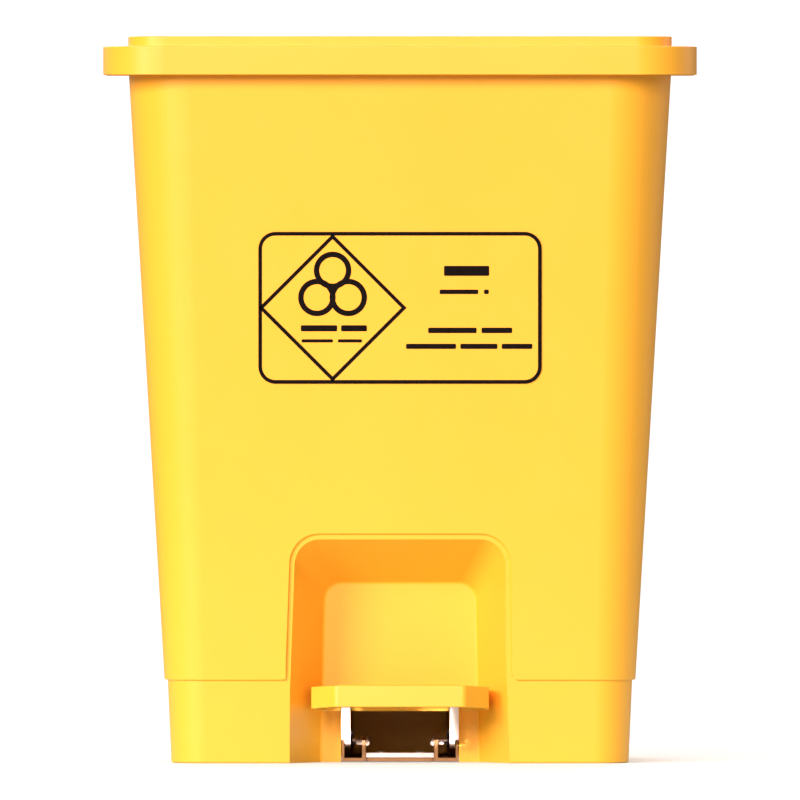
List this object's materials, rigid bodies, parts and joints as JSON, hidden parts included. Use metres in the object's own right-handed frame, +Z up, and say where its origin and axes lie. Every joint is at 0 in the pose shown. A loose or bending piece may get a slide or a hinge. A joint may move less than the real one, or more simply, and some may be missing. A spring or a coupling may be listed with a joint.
{
  "type": "pedal waste bin",
  "caption": "Tapered moulded waste bin with a hinged lid, an arched foot recess and a foot pedal that lifts the lid through a lever frame and a push rod behind the rear wall.",
  "frame": {"origin": "on the floor under the centre of the bin's bounding box", "axes": "+Z up, +X to the right of someone facing the pedal, -Y towards the pedal side, hinges at +Y"},
  "size_m": [0.3674, 0.367, 0.45],
  "materials": {
    "yellow_plastic": "satin, moulded polypropylene",
    "white_steel": "white powder coat",
    "zinc_steel": "bright zinc plate",
    "bronze_steel": "yellow-passivated zinc plate",
    "nylon": "natural nylon",
    "black_nylon": "black nylon",
    "grey_rubber": "matt",
    "label_film": "satin printed film"
  },
  "bodies": {
    "body": {"body_shell": "yellow_plastic", "label": "label_film", "hinge_pin_left": "zinc_steel", "hinge_pin_right": "zinc_steel", "hinge_clip_left": "zinc_steel", "hinge_clip_right": "zinc_steel", "rear_cover": "yellow_plastic", "cover_screw_1": "zinc_steel", "cover_screw_2": "zinc_steel", "cover_screw_3": "zinc_steel", "cover_screw_4": "zinc_steel", "rod_guide_lower": "nylon", "rod_guide_upper": "nylon", "guide_screw_1": "zinc_steel", "guide_screw_2": "zinc_steel", "guide_screw_3": "zinc_steel", "guide_screw_4": "zinc_steel", "pivot_bracket": "bronze_steel", "bracket_screw_1": "zinc_steel", "bracket_screw_2": "zinc_steel", "bracket_screw_3": "zinc_steel", "bracket_screw_4": "zinc_steel", "tie_strip": "white_steel", "tie_rivet_left": "zinc_steel", "tie_rivet_right": "zinc_steel", "pivot_pin_left": "zinc_steel", "pivot_pin_right": "zinc_steel", "pivot_clip_left": "zinc_steel", "pivot_clip_right": "zinc_steel", "snap_pin_left": "nylon", "snap_pin_right": "nylon"},
    "lid": {"lid": "yellow_plastic", "lid_buffer_front_left": "grey_rubber", "lid_buffer_front_right": "grey_rubber", "lid_buffer_rear_left": "grey_rubber", "lid_buffer_rear_right": "grey_rubber"},
    "pedal_lever": {"lever_frame": "white_steel", "pedal_plate": "yellow_plastic", "pedal_screw_1": "zinc_steel", "pedal_screw_2": "zinc_steel", "pedal_screw_3": "zinc_steel", "pedal_screw_4": "zinc_steel", "pivot_bush_left": "black_nylon", "pivot_bush_right": "black_nylon"},
    "push_rod": {"push_rod": "zinc_steel", "rod_clip_lower": "zinc_steel", "rod_clip_upper": "zinc_steel"}
  },
  "joints": [
    {"name": "lid_hinge", "type": "hinge", "parent": "body", "child": "lid", "pos_m": [0, 0.1765, 0.432], "axis": [-1, 0, 0], "range_deg": [0, 75]},
    {"name": "pedal_press", "type": "hinge", "parent": "body", "child": "pedal_lever", "pos_m": [0, -0.057, 0.0125], "axis": [1, 0, 0], "range_deg": [0, 8.98]},
    {"name": "rod_lift", "type": "slide", "parent": "body", "child": "push_rod", "axis": [0, 0.0587, 0.9983], "range_m": [0, 0.03016]}
  ],
  "couplings": [
    {"joint": "pedal_press", "follows": "lid_hinge", "ratio": 0.11965},
    {"joint": "rod_lift", "follows": "lid_hinge", "m_per_rad": 0.023036}
  ]
}
